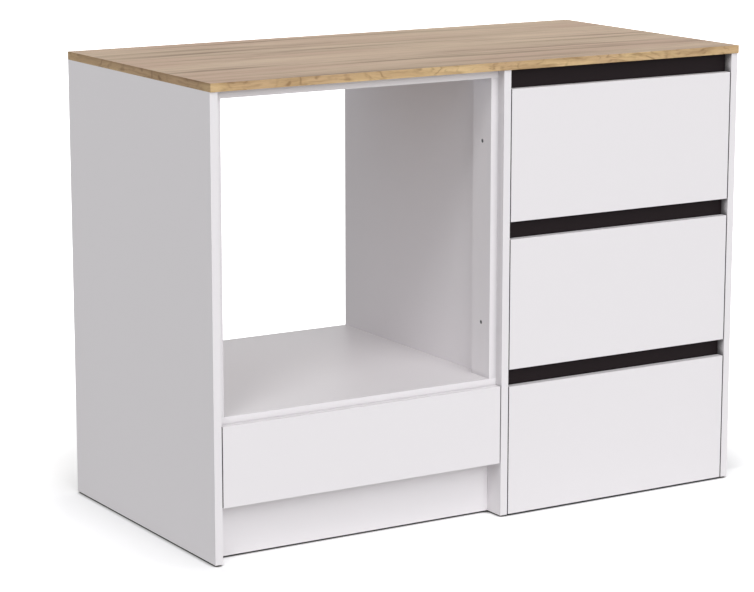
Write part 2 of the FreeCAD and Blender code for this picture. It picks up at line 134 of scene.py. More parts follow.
def place_effect(tree, group, inputs):
    """Put a node group into a material with its own values."""
    return add_node(tree, "Group", inputs, node_tree=group).outputs


def new_finish(name, **sockets):
    """A material, its node tree, its shader and the place it reads.

    Values that are the same all over are set on the shader's own sockets.
    """
    made = bpy.data.materials.new(name)
    made.use_nodes = True
    tree = made.node_tree
    shader = tree.nodes["Principled BSDF"]
    for label, value in sockets.items():
        shader.inputs[label.replace("_", " ")].default_value = value
    return made, tree, shader, add_node(tree, "TexCoord").outputs["Object"]


def join(tree, shader, colour, roughness, height, depth):
    """Feed a shader's varying colour and roughness, and a bump of this depth."""
    bump = add_node(tree, "Bump", {"Height": height, "Distance": depth, "Strength": 1.0})
    tree.links.new(colour, shader.inputs["Base Color"])
    tree.links.new(roughness, shader.inputs["Roughness"])
    tree.links.new(bump.outputs["Normal"], shader.inputs["Normal"])


# Melamine is pressed against a steel plate, which leaves a fine pearled surface.
pressed_face, taken, given = start_effect(
    "pressed_face", [("Place", "Vector", (0, 0, 0)), ("Tint", "Color", WHITE_MELAMINE),
                     ("Dullness", "Float", MELAMINE_DULLNESS)],
    [("Colour", "Color"), ("Roughness", "Float"), ("Height", "Float")])
pearl = noise(pressed_face, taken["Place"], 850.0, 3.0, 0.6)
cloud = maths(pressed_face, "MULTIPLY", noise(pressed_face, taken["Place"], 5.0, 3.0), 0.035)
give(pressed_face, given, Height=pearl,
     Colour=blend_colours(pressed_face, cloud, taken["Tint"], CLOUDED, "MULTIPLY"),
     Roughness=maths(pressed_face, "ADD", taken["Dullness"],
                     maths(pressed_face, "MULTIPLY", pearl, 0.14)))

# Sawn particle board: coarse flakes in resin, in several browns.
sawn_chips, taken, given = start_effect(
    "sawn_chips", [("Place", "Vector", (0, 0, 0))], [("Colour", "Color"), ("Height", "Float")])
flakes = add_node(sawn_chips, "TexVoronoi", {
    "Vector": stretched(sawn_chips, taken["Place"], (0.55, 0.55, 1.0)), "Scale": 620.0})
flake_tone = add_node(sawn_chips, "SeparateColor", {0: flakes.outputs["Color"]}).outputs[0]
rough_cut = maths(sawn_chips, "ADD", flake_tone, noise(sawn_chips, taken["Place"], 1500.0, 3.0))
give(sawn_chips, given, Height=rough_cut,
     Colour=blend_colours(sawn_chips, ramp(sawn_chips, rough_cut, 0.45, 1.45),
                          SAWN_CHIP_DARK, SAWN_CHIP_PALE))

# Marks the faces of a board that look back or down, where its sawn edges are.
sawn_sides, taken, given = start_effect(
    "sawn_sides", [("Back", "Float", 1.0), ("Under", "Float", 1.0)], [("Mask", "Float")])
normal = add_node(sawn_sides, "NewGeometry").outputs["Normal"]
facing = add_node(sawn_sides, "SeparateXYZ", {0: normal}).outputs
looks_back = maths(sawn_sides, "GREATER_THAN", facing["Y"], 0.9)
looks_down = maths(sawn_sides, "LESS_THAN", facing["Z"], -0.9)
give(sawn_sides, given, Mask=maths(sawn_sides, "MAXIMUM",
                                   maths(sawn_sides, "MULTIPLY", looks_back, taken["Back"]),
                                   maths(sawn_sides, "MULTIPLY", looks_down, taken["Under"])))

# Painted shade in narrow gaps and inner corners. An open surface has an openness of 1, and the foot
# of a wall 0.5. The painted shade starts where openness falls below the unshaded bound, and is
# whole at the shaded bound. It lies only between From X and To X, in front of To Y and above From
# Z.
painted_corner_shade, taken, given = start_effect(
    "painted_corner_shade", [("Place", "Vector", (0, 0, 0)), ("Colour", "Color", WHITE_MELAMINE),
                    ("Reach", "Float", 0.024), ("Unshaded", "Float", 0.7), ("Shaded", "Float", 0.5),
                    ("Share", "Float", 0.5), ("From X", "Float", -10.0), ("To X", "Float", 10.0),
                    ("To Y", "Float", 10.0), ("From Z", "Float", -10.0)],
    [("Colour", "Color")])
openness = add_node(painted_corner_shade, "AmbientOcclusion", {"Distance": taken["Reach"]},
                    samples=8).outputs["AO"]
spot = add_node(painted_corner_shade, "SeparateXYZ", {0: taken["Place"]}).outputs
shaded_share = maths(painted_corner_shade, "MULTIPLY", taken["Share"],
              ramp(painted_corner_shade, openness, taken["Unshaded"], taken["Shaded"]))
for inside in (maths(painted_corner_shade, "GREATER_THAN", spot["X"], taken["From X"]),
               maths(painted_corner_shade, "LESS_THAN", spot["X"], taken["To X"]),
               maths(painted_corner_shade, "LESS_THAN", spot["Y"], taken["To Y"]),
               maths(painted_corner_shade, "GREATER_THAN", spot["Z"], taken["From Z"])):
    shaded_share = maths(painted_corner_shade, "MULTIPLY", shaded_share, inside)
give(painted_corner_shade, given, Colour=blend_colours(painted_corner_shade, shaded_share, taken["Colour"], PAINTED_SHADE))


def faced_board(name, tint, dullness, back, under, shine=0.45, seam=None, painted_shade=()):
    """Melamine-faced board whose edges are sawn at the back or underneath, and banded elsewhere.

    The front band's glue line shows on the faces as a hairline, where Y is seam. Each layer of
    painted corner shade takes its values from one row.
    """
    finish, tree, shader, place = new_finish(name, Specular_IOR_Level=shine)
    face = place_effect(tree, pressed_face, {"Place": place, "Tint": tint, "Dullness": dullness})
    colour, roughness, height = face["Colour"], face["Roughness"], face["Height"]
    if seam is not None:
        depth = add_node(tree, "SeparateXYZ", {0: place}).outputs["Y"]
        away = maths(tree, "ABSOLUTE", maths(tree, "SUBTRACT", depth, seam))
        line = maths(tree, "SUBTRACT", 1.0, ramp(tree, away, 0.0001, 0.0003))
        colour = blend_colours(tree, maths(tree, "MULTIPLY", line, 0.6), colour, GLUE)
    for layer in painted_shade:
        values = {"Place": place, "Colour": colour, **layer}
        colour = place_effect(tree, painted_corner_shade, values)["Colour"]
    if back or under:
        mask = place_effect(tree, sawn_sides, {"Back": float(back), "Under": float(under)})["Mask"]
        chips = place_effect(tree, sawn_chips, {"Place": place})
        colour = blend_colours(tree, mask, colour, chips["Colour"])
        roughness = maths(tree, "MAXIMUM", roughness, maths(tree, "MULTIPLY", mask, 0.85))
        chipped = maths(tree, "MULTIPLY", chips["Height"], 6.0)
        height = maths(tree, "ADD", height, maths(tree, "MULTIPLY", mask, chipped))
    join(tree, shader, colour, roughness, height, 0.00004)
    return finish


def dress(name, finish, arris=0.0):
    """Give a CAD node its finish, and take the sharpness off its edges."""
    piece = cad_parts[name]
    if not piece.material_slots:
        piece.data.materials.append(finish)
    for slot in piece.material_slots:
        slot.material = finish
    if arris:
        weld = piece.modifiers.new("weld", "WELD")
        weld.merge_threshold = 0.00001
        flat = piece.modifiers.new("flat", "DECIMATE")
        flat.decimate_type = "DISSOLVE"
        flat.angle_limit = math.radians(1)
        bevel = piece.modifiers.new("arris", "BEVEL")
        bevel.width, bevel.segments = arris, 2
        bevel.limit_method, bevel.angle_limit = "ANGLE", math.radians(40)


# Painted shade darkens the panels where fingers reach in beside the black rails, and in front of
# the niche's battens. Each of its bounds is a hair inside the board, so that the face itself lies
# within them.
HAIR, PAST_RAIL_FACE = 0.0002, 0.004
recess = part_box("top_grip_rail")[0].y + PAST_RAIL_FACE
BESIDE_RAILS = {"Unshaded": 0.76, "Shaded": 0.5, "Share": 0.79, "To Y": recess,
                "From X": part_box("divider_panel")[1].x - HAIR,
                "To X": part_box("right_panel")[0].x + HAIR}
BESIDE_BATTENS = {"Unshaded": 0.98, "Shaded": 0.8, "Share": 0.17, "To Y": recess,
                  "From X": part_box("left_panel")[1].x - HAIR,
                  "To X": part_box("divider_panel")[0].x + HAIR,
                  "From Z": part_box("niche_shelf")[0].z}
white_upright = faced_board("white_upright_board", WHITE_MELAMINE, MELAMINE_DULLNESS, True, True,
                            seam=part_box("left_panel")[0].y + GLUE_LINE,
                            painted_shade=(BESIDE_RAILS, BESIDE_BATTENS))
for name in ("left_panel", "divider_panel", "right_panel"):
    dress(name, white_upright, BAND_ARRIS)

# ------------------------------------------------------------------ shelves, floors and rails
# Boards of the same stock, lying between the panels. Their front edges are banded and their back
# edges sawn. The shelf and the two floors hang on cams and dowels.
white_lying = faced_board("white_lying_board", WHITE_MELAMINE, MELAMINE_DULLNESS, True, False,
                          seam=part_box("niche_shelf")[0].y + GLUE_LINE)
for name in ("niche_shelf", "niche_floor", "bank_floor", "niche_front_rail", "niche_rear_rail",
             "bank_rear_rail"):
    dress(name, white_lying, BAND_ARRIS)

# ------------------------------------------------------------------ plinth
# A board of the same stock stood on edge in the toe space under the low drawer, sawn along its
# lower edge. Moulded blocks behind it hold its ends to the panels.
white_standing = faced_board("white_standing_board", WHITE_MELAMINE, MELAMINE_DULLNESS,
                             False, True)
dress("plinth", white_standing, BAND_ARRIS)

# ------------------------------------------------------------------ niche battens
# Two upright strips of the same board, banded all round, that narrow the niche to an appliance's
# body. Each is screwed to the panel beside it, and painted shade darkens its inner corners.
BATTEN_ARRIS, BATTEN_SHADE = 0.0008, {"Unshaded": 0.70, "Shaded": 0.60, "Share": 0.19}
white_banded = faced_board("white_banded_board", WHITE_MELAMINE, MELAMINE_DULLNESS, False, False,
                           painted_shade=(BATTEN_SHADE,))
for name in ("niche_batten_left", "niche_batten_right"):
    dress(name, white_banded, BATTEN_ARRIS)

# ------------------------------------------------------------------ batten screws
# Zinc-plated countersunk screws with a cross recess. Each is driven until its head lies just below
# the batten's face, so its countersink shows as a dark rim.
SCREW_HEAD, SCREW_SHANK, SCREW_SUNK, HEAD_DEEP = 0.0080, 0.0038, 0.0008, 0.0020
PLATED_DARK = (0.16, 0.16, 0.17, 1.0)
TOWARDS_PLUS_X, TOWARDS_MINUS_X = (0, math.pi / 2, 0), (0, -math.pi / 2, 0)


def steel_finish(name, tint, roughness):
    """Rolled and plated steel: faint streaks along the piece's length."""
    finish, tree, shader, place = new_finish(name, Metallic=1.0)
    streaks = noise(tree, stretched(tree, place, (1.0, 0.02, 1.0)), 1400.0, 4.0, 0.6)
    spangle = noise(tree, place, 70.0, 4.0, 0.6)
    shade = maths(tree, "ADD", maths(tree, "MULTIPLY", streaks, 0.6),
                  maths(tree, "MULTIPLY", spangle, 0.4))
    dark = tuple(channel * 0.78 for channel in tint[:3]) + (1.0,)
    join(tree, shader, blend_colours(tree, ramp(tree, shade, 0.35, 0.65), dark, tint),
         maths(tree, "ADD", maths(tree, "MULTIPLY", shade, 0.2), roughness - 0.1), streaks, 0.00002)
    return finish


def deselect():
    """Operators act on all that is selected, so nothing is."""
    bpy.ops.object.select_all(action="DESELECT")


def settle(piece, turn, place):
    """Turn and move a piece by its object, then put that into its mesh."""
    deselect()
    bpy.context.view_layer.objects.active = piece
    piece.select_set(True)
    piece.rotation_euler, piece.location = turn, place
    bpy.ops.object.transform_apply(location=True, rotation=True, scale=True)
    return piece


def apply_modifier(piece, kind, **settings):
    """Add a modifier with these settings and put its result into the mesh."""
    modifier = piece.modifiers.new(kind.lower(), kind)
    for name, value in settings.items():
        setattr(modifier, name, value)
    deselect()
    bpy.context.view_layer.objects.active = piece
    piece.select_set(True)
    bpy.ops.object.modifier_apply(modifier=modifier.name)


def round_blank(across, tall, sides, place):
    """A short round bar along Z, its middle at the place given."""
    deselect()
    bpy.ops.mesh.primitive_cylinder_add(vertices=sides, radius=across / 2, depth=tall,
                                        location=place)
    bpy.ops.object.transform_apply(location=True)
    return bpy.context.object


def edit_faces(piece, chosen):
    """Go into edit mode with only those faces selected whose normal is chosen."""
    bpy.ops.object.mode_set(mode="EDIT")
    bpy.ops.mesh.select_mode(type="FACE")
    bpy.ops.mesh.select_all(action="DESELECT")
    bpy.ops.object.mode_set(mode="OBJECT")
    for face in piece.data.polygons:
        face.select = chosen(face.normal)
    bpy.ops.object.mode_set(mode="EDIT")


def cut_cross(piece, long, wide, deep):
    """Sink a tapered cross recess into the top of a piece whose top face lies at Z = 0."""
    for turn in (0.0, math.pi / 2):
        deselect()
        bpy.ops.mesh.primitive_cube_add(size=1, location=(0, 0, 0), rotation=(0, 0, turn),
                                        scale=(long, wide, 2 * deep))
        bar = bpy.context.object
        edit_faces(bar, lambda normal: normal.z < -0.9)
        bpy.ops.transform.resize(value=(0.45, 0.8, 1.0), orient_type="LOCAL",
                                 center_override=(0, 0, -deep))
        bpy.ops.object.mode_set(mode="OBJECT")
        apply_modifier(piece, "BOOLEAN", operation="DIFFERENCE", object=bar, solver="EXACT")
        bpy.data.objects.remove(bar)
    return piece


def screw(name, head, shank, head_deep, long):
    """A countersunk screw that points down -Z with its head's face at Z = 0."""
    made = round_blank(head, head_deep, 28, (0, 0, -head_deep / 2))
    made.name = name
    edit_faces(made, lambda normal: normal.z < -0.9)
    taper = shank / head
    bpy.ops.transform.resize(value=(taper, taper, 1), center_override=(0, 0, -head_deep))
    bpy.ops.mesh.extrude_region_move(TRANSFORM_OT_translate={"value": (0, 0, head_deep - long)})
    bpy.ops.mesh.extrude_region_move(TRANSFORM_OT_translate={"value": (0, 0, -shank)})
    bpy.ops.transform.resize(value=(0.1, 0.1, 1), center_override=(0, 0, -long))
    bpy.ops.object.mode_set(mode="OBJECT")
    return cut_cross(made, long=head * 0.62, wide=head * 0.16, deep=head_deep * 0.8)


def copies_at(model, name, places):
    """Copies of a small piece, each turned and moved to its place, joined under one name."""
    made = []
    for turn, place in places:
        copy = model.copy()
        copy.data = model.data.copy()
        bpy.context.scene.collection.objects.link(copy)
        made.append(settle(copy, turn, place))
    bpy.data.objects.remove(model)
    deselect()
    for copy in made:
        copy.select_set(True)
    bpy.context.view_layer.objects.active = made[0]
    bpy.ops.object.join()
    made[0].name = made[0].data.name = name
    return made[0]


def finish_piece(piece, finish, body, replaced=()):
    """Give a new piece its finish and its body, and hide the parts that it replaces."""
    piece.data.materials.clear()
    piece.data.materials.append(finish)
    deselect()
    bpy.context.view_layer.objects.active = piece
    piece.select_set(True)
    bpy.ops.object.shade_smooth_by_angle(angle=math.radians(30))
    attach(piece, body)
    if replaced:
        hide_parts(*replaced)


plated_screw = steel_finish("plated_screw", PLATED_DARK, 0.45)
screws_low, screws_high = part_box("batten_screws")
head_radius = (screws_high.y - screws_low.y) / 2
screw_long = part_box("niche_batten_left")[1].x - screws_low.x - SCREW_SUNK
heads = []
for turn, x in ((TOWARDS_PLUS_X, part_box("niche_batten_left")[1].x - SCREW_SUNK),
                (TOWARDS_MINUS_X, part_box("niche_batten_right")[0].x + SCREW_SUNK)):
    for z in (screws_low.z + head_radius, screws_high.z - head_radius):
        heads.append((turn, (x, screws_low.y + head_radius, z)))
model = screw("screw", SCREW_HEAD, SCREW_SHANK, HEAD_DEEP, screw_long - SCREW_SHANK)
finish_piece(copies_at(model, "batten_cross_screws", heads), plated_screw, "carcass",
             ["batten_screws"])

# ------------------------------------------------------------------ worktop
# Particle board faced with oak-look laminate, its long grain printed along the width. Its back
# edge is sawn, because it stands against a wall.
OAK_PALE, OAK_MID = (0.622, 0.472, 0.335, 1), (0.49, 0.358, 0.246, 1)
OAK_DARK, OAK_ROSY = (0.216, 0.14, 0.082, 1), (0.527, 0.365, 0.262, 1)

# Oak cut along the grain, which runs along X of the place that the effect is given: broad bands
# that wander, darker streaks, the thin lines of the growth rings, fibres and short open pores.
oak_grain, taken, given = start_effect(
    "oak_grain", [("Place", "Vector", (0, 0, 0)), ("Pale", "Color", OAK_PALE),
                  ("Mid", "Color", OAK_MID), ("Dark", "Color", OAK_DARK),
                  ("Rosy", "Color", OAK_ROSY), ("Streaks", "Float", 1.0), ("Rings", "Float", 0.16),
                  ("Closeness", "Float", 15.0), ("Pores", "Float", 0.3)],
    [("Colour", "Color"), ("Roughness", "Float"), ("Height", "Float")])


def grain_noise(place, along, across, detail, roughness=0.5, distortion=0.0):
    """Noise for the oak, with this many marks in a metre along the grain and across it."""
    return noise(oak_grain, stretched(oak_grain, place, (along, across, across)), 1.0, detail,
                 roughness, distortion)


slow = grain_noise(taken["Place"], 1.1, 1.6, 1.5)
quick = grain_noise(taken["Place"], 7.0, 11.0, 2.0)
sway = maths(oak_grain, "ADD", maths(oak_grain, "MULTIPLY", slow, 0.07),
             maths(oak_grain, "MULTIPLY", quick, 0.016))
swayed = add_node(oak_grain, "CombineXYZ", {1: sway}).outputs[0]
wandering = add_node(oak_grain, "VectorMath", {0: taken["Place"], 1: swayed},
                     operation="ADD").outputs[0]
bands = grain_noise(wandering, 0.9, 24.0, 3.0, 0.55)
streaks = grain_noise(wandering, 1.7, 34.0, 4.0, 0.62)
fine = grain_noise(wandering, 4.0, 230.0, 3.0, 0.6)
fibres = grain_noise(wandering, 18.0, 850.0, 2.0)
pits = grain_noise(wandering, 60.0, 1700.0, 2.0)
pores = maths(oak_grain, "MULTIPLY", ramp(oak_grain, pits, 0.64, 0.76), taken["Pores"])
clouds = grain_noise(taken["Place"], 1.8, 8.0, 2.0)
contour = grain_noise(wandering, 1.7, 9.0, 2.5, 0.6, 0.5)
ring = maths(oak_grain, "PINGPONG", maths(oak_grain, "MULTIPLY", contour, taken["Closeness"]), 0.5)
ring_line = maths(oak_grain, "MULTIPLY", ramp(oak_grain, quick, 0.42, 0.62),
                  maths(oak_grain, "SUBTRACT", 1.0, ramp(oak_grain, ring, 0.0, 0.2)))
tone = blend_colours(oak_grain, ramp(oak_grain, bands, 0.38, 0.62), taken["Mid"], taken["Pale"])
tone = blend_colours(oak_grain, ramp(oak_grain, clouds, 0.42, 0.64), tone, taken["Rosy"])
for mark, share in (
        (ramp(oak_grain, streaks, 0.50, 0.72), taken["Streaks"]), (ring_line, taken["Rings"]),
        (ramp(oak_grain, fine, 0.48, 0.74), 0.26), (ramp(oak_grain, fibres, 0.45, 0.75), 0.12),
        (pores, 1.0)):
    tone = blend_colours(oak_grain, maths(oak_grain, "MULTIPLY", mark, share), tone, taken["Dark"])
give(oak_grain, given, Colour=tone,
     Roughness=maths(oak_grain, "ADD", maths(oak_grain, "MULTIPLY", pores, 0.4),
                     maths(oak_grain, "MULTIPLY", fibres, 0.12)),
     Height=maths(oak_grain, "SUBTRACT", fibres, maths(oak_grain, "MULTIPLY", pores, 2.0)))

oak_laminate, tree, shader, place = new_finish("oak_laminate", Specular_IOR_Level=0.2)
grain = place_effect(tree, oak_grain, {"Place": place})
mask = place_effect(tree, sawn_sides, {"Back": 1.0, "Under": 0.0})["Mask"]
chips = place_effect(tree, sawn_chips, {"Place": place})
join(tree, shader, blend_colours(tree, mask, grain["Colour"], chips["Colour"]),
     maths(tree, "ADD", maths(tree, "MULTIPLY", mask, 0.3),
           maths(tree, "ADD", grain["Roughness"], 0.48)),
     maths(tree, "ADD", grain["Height"], maths(tree, "MULTIPLY", mask, chips["Height"])), 0.00006)
dress("worktop", oak_laminate)

# ------------------------------------------------------------------ worktop edging
# A 1 mm strip with a printed oak pattern, glued round the front and both ends. Its print is more
# golden and more marked than the laminate's, and painted shade darkens its left end.
EDGE_PALE, EDGE_MID = (0.715, 0.515, 0.275, 1), (0.54, 0.365, 0.185, 1)
EDGE_DARK, EDGE_ROSY = (0.17, 0.085, 0.025, 1), (0.58, 0.395, 0.22, 1)
LEFT_END_SHADE = (0.81, 0.785, 0.78, 1)
oak_edging, tree, shader, place = new_finish("oak_edging", Specular_IOR_Level=0.3)
# A strip's own length is X + Y, because each strip runs along only one of them.
split = add_node(tree, "SeparateXYZ", {0: place}).outputs
along = maths(tree, "ADD", maths(tree, "MULTIPLY", split["X"], 5.0),
              maths(tree, "MULTIPLY", split["Y"], 4.0))
up = maths(tree, "MULTIPLY", split["Z"], 2.4)
strip_place = add_node(tree, "CombineXYZ", {0: along, 1: up}).outputs[0]
grain = place_effect(tree, oak_grain, {
    "Place": strip_place, "Pale": EDGE_PALE, "Mid": EDGE_MID, "Dark": EDGE_DARK, "Rosy": EDGE_ROSY,
    "Streaks": 0.6, "Rings": 0.6, "Closeness": 9.0, "Pores": 0.3})
# Painted shade: the whole left end is darker.
left_end = maths(tree, "LESS_THAN", split["X"], cad_low.x + 0.0005)
tone = blend_colours(tree, left_end, grain["Colour"], LEFT_END_SHADE, "MULTIPLY")
# The trimmed arris shows the strip's dark core and glue line; on the left end it adds painted
# shade.
arris = ramp(tree, split["Z"], cad_high.z - 0.0046, cad_high.z - 0.0022)
arris = maths(tree, "MULTIPLY", arris,
              maths(tree, "ADD", maths(tree, "MULTIPLY", left_end, 0.24), 0.08))
tone = blend_colours(tree, arris, tone, EDGE_DARK)
join(tree, shader, tone, maths(tree, "ADD", grain["Roughness"], 0.38), grain["Height"], 0.00006)
dress("worktop_edging", oak_edging)

# ------------------------------------------------------------------ grip rails
# Black melamine board stood on edge behind the finger gaps, so that the gaps read as black lines.
# Moulded blocks hold both of its ends.
BLACK_MELAMINE, RAIL_ARRIS = (0.0205, 0.0152, 0.0168, 1.0), 0.0006
black_board = faced_board("black_board", BLACK_MELAMINE, 0.30, False, False, shine=0.07)
for name in ("top_grip_rail", "centre_grip_rail", "bottom_grip_rail"):
    dress(name, black_board, RAIL_ARRIS)

# ------------------------------------------------------------------ thin backs
# 3 mm hardboard in the panels' grooves, lacquered white on the inside and raw brown behind. The
# drawer bottoms are of the same board.
LACQUER, RAW_DARK, RAW_PALE = (0.80, 0.78, 0.79, 1), (0.24, 0.145, 0.078, 1), (0.37, 0.24, 0.145, 1)
hardboard, tree, shader, place = new_finish("lacquered_hardboard", Specular_IOR_Level=0.35)
face = place_effect(tree, pressed_face, {"Place": place, "Tint": LACQUER, "Dullness": 0.45})
raw = place_effect(tree, sawn_sides, {"Back": 1.0, "Under": 1.0})["Mask"]
felt = noise(tree, place, 260.0, 6.0, 0.7)
brown = blend_colours(tree, ramp(tree, felt, 0.3, 0.7), RAW_DARK, RAW_PALE)
join(tree, shader, blend_colours(tree, raw, face["Colour"], brown),
     maths(tree, "MAXIMUM", face["Roughness"], maths(tree, "MULTIPLY", raw, 0.8)),
     maths(tree, "ADD", face["Height"], maths(tree, "MULTIPLY", raw, felt)), 0.00008)
for name in ("bank_back", "niche_drawer_bay_back"):
    dress(name, hardboard)

# ------------------------------------------------------------------ cams, bolts and dowels
# Die-cast cams in the undersides of the shelf and floors, each turned with a cross-head driver to
# draw in the bolt that stands in the panel. Beech dowels line up the rear of the same joints.
CAM_ACROSS, CAM_TALL, CAM_REACH, JOINT_INSET = 0.0148, 0.0124, 0.034, 0.050
CAM_RIM, CAM_DISHED, CAM_PROUD = 0.0012, 0.0004, 0.0001
CAST_ZINC = (0.55, 0.55, 0.56, 1)
BEECH_DARK, BEECH_PALE = (0.62, 0.42, 0.24, 1), (0.72, 0.54, 0.35, 1)
zinc_casting = steel_finish("zinc_casting", CAST_ZINC, 0.5)
cam = round_blank(CAM_ACROSS, CAM_TALL, 36, (0, 0, -CAM_TALL / 2))
edit_faces(cam, lambda normal: normal.z > 0.9)
bpy.ops.mesh.inset(thickness=CAM_RIM)
bpy.ops.transform.translate(value=(0, 0, -CAM_DISHED))
bpy.ops.object.mode_set(mode="OBJECT")
cut_cross(cam, long=0.0085, wide=0.0016, deep=0.0022)
spots = []
for name in ("niche_shelf", "niche_floor", "bank_floor"):
    low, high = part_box(name)
    for x in (low.x + CAM_REACH, high.x - CAM_REACH):
        spots.append(((math.pi, 0, 0), (x, low.y + JOINT_INSET, low.z + CAM_PROUD)))
finish_piece(copies_at(cam, "slotted_cams", spots), zinc_casting, "carcass",
             ["cam_locks"])
dress("cam_bolts", zinc_casting)

beech, tree, shader, place = new_finish("beech", Specular_IOR_Level=0.3)
rays = noise(tree, stretched(tree, place, (40.0, 900.0, 900.0)), 1.0, 3.0)
join(tree, shader, blend_colours(tree, rays, BEECH_DARK, BEECH_PALE),
     maths(tree, "ADD", maths(tree, "MULTIPLY", rays, 0.2), 0.5), rays, 0.0001)
dress("dowels", beech)

# ------------------------------------------------------------------ corner blocks and glides
# Injection-moulded plastic, white blocks and black glides. A block sits in each corner behind a
# rail, the plinth or the worktop's front, held by two screws in its slope. A glide is nailed under
# each end of every panel.
PAN_ACROSS, PAN_TALL, SLOPE_IN, SCREW_STEP = 0.0066, 0.0016, 0.012, 0.0085
MOULDED_ARRIS, PLINTH_BLOCKS_LOWER = 0.0005, 0.008
WHITE_DULL, WHITE_BRIGHT = (0.76, 0.76, 0.75, 1), (0.83, 0.83, 0.82, 1)
BLACK_DULL, BLACK_BRIGHT = (0.006, 0.006, 0.007, 1), (0.011, 0.011, 0.012, 1)


def moulded_plastic(name, dull, bright, shine):
    """Injection-moulded plastic: a spark-eroded surface that sank a little as it cooled."""
    finish, tree, shader, place = new_finish(name, Specular_IOR_Level=shine)
    sparks = noise(tree, place, 1800.0, 2.0)
    sink = noise(tree, place, 60.0, 2.0)
    join(tree, shader, blend_colours(tree, sink, dull, bright),
         maths(tree, "ADD", maths(tree, "MULTIPLY", sparks, 0.15), 0.36), sparks, 0.00003)
    return finish


white_plastic = moulded_plastic("moulded_white_plastic", WHITE_DULL, WHITE_BRIGHT, 0.5)
black_plastic = moulded_plastic("moulded_black_plastic", BLACK_DULL, BLACK_BRIGHT, 0.06)
for name in ("rail_blocks", "worktop_blocks"):
    dress(name, white_plastic, MOULDED_ARRIS)
dress("glides", black_plastic, MOULDED_ARRIS)


def low_headed_screw(tall):
    """A domed head with a cross recess, its seat at Z = 0 and its top at Z = tall."""
    head = round_blank(PAN_ACROSS, tall, 24, (0, 0, tall / 2))
    edit_faces(head, lambda normal: normal.z > 0.9)
    bpy.ops.transform.translate(value=(0, 0, -tall * 0.4))
    bpy.ops.mesh.inset(thickness=PAN_ACROSS * 0.08)
    bpy.ops.transform.translate(value=(0, 0, tall * 0.3))
    bpy.ops.mesh.inset(thickness=PAN_ACROSS * 0.14)
    bpy.ops.transform.translate(value=(0, 0, tall * 0.1))
    bpy.ops.object.mode_set(mode="OBJECT")
    settle(head, (0, 0, 0), (0, 0, -tall))
    cut_cross(head, long=0.0040, wide=0.0009, deep=tall * 0.6)
    return settle(head, (0, 0, 0), (0, 0, tall))


corners = ((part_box("left_panel")[1].x, 1, "niche"), (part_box("divider_panel")[0].x, -1, "niche"),
           (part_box("divider_panel")[1].x, 1, "bank"), (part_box("right_panel")[0].x, -1, "bank"))
# The plinth's blocks are a little lower than its middle, to clear the niche floor.
standing = {"niche": [("plinth", PLINTH_BLOCKS_LOWER)],
            "bank": [("top_grip_rail", 0), ("centre_grip_rail", 0), ("bottom_grip_rail", 0)]}
block_screws = []
for x, inwards, bay in corners:
    # Blocks under the worktop and in front of the rear rail slope down and into the bay.
    beneath = (0, inwards * 3 * math.pi / 4, 0)
    front_low, front_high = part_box("worktop_blocks")
    rail_low, rail_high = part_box(f"{bay}_rear_rail")
    for y, top in (((front_low.y + front_high.y) / 2, front_high.z),
                   ((rail_low.y + rail_high.y) / 2, rail_low.z)):
        for step in (-SCREW_STEP, SCREW_STEP):
            block_screws.append((beneath, (x + inwards * SLOPE_IN, y + step, top - SLOPE_IN)))
    # Blocks behind the plinth and the grip rails slope back and into the bay.
    behind = (-math.pi / 2, 0, -inwards * math.pi / 4)
    for board, lower in standing[bay]:
        board_low, board_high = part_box(board)
        middle = (board_low.z + board_high.z) / 2 - lower
        for step in (-SCREW_STEP, SCREW_STEP):
            block_screws.append((behind, (x + inwards * SLOPE_IN, board_high.y + SLOPE_IN,
                                          middle + step)))
finish_piece(copies_at(low_headed_screw(PAN_TALL), "corner_block_screws", block_screws),
             zinc_casting, "carcass")

# ------------------------------------------------------------------ drawers
# Each front is 16 mm board banded on all four edges. The box behind it is 12 mm board, with a thin
# bottom in grooves. Small cams draw the sides up to the front, and screws hold them to the back.
DRAWERS = ("top", "centre", "bottom", "niche")
FRONT_ARRIS, FRONT_DULLNESS, BOX_ARRIS = 0.0003, 0.34, 0.0005
BOX_CAM, BOX_CAM_TALL, CAM_FROM_FRONT, CAM_FROM_EDGE = 0.012, 0.003, 0.024, 0.034
BACK_SCREW, BACK_SHANK, BACK_HEAD_DEEP, BACK_SCREW_LONG = 0.0068, 0.0032, 0.0018, 0.026
BACK_SCREW_LOW, BACK_SCREW_TOP, BACK_HALF = 0.082, 0.018, 0.006
BOX_CAM_PROUD, BACK_HEAD_PROUD = 0.0003, 0.0002
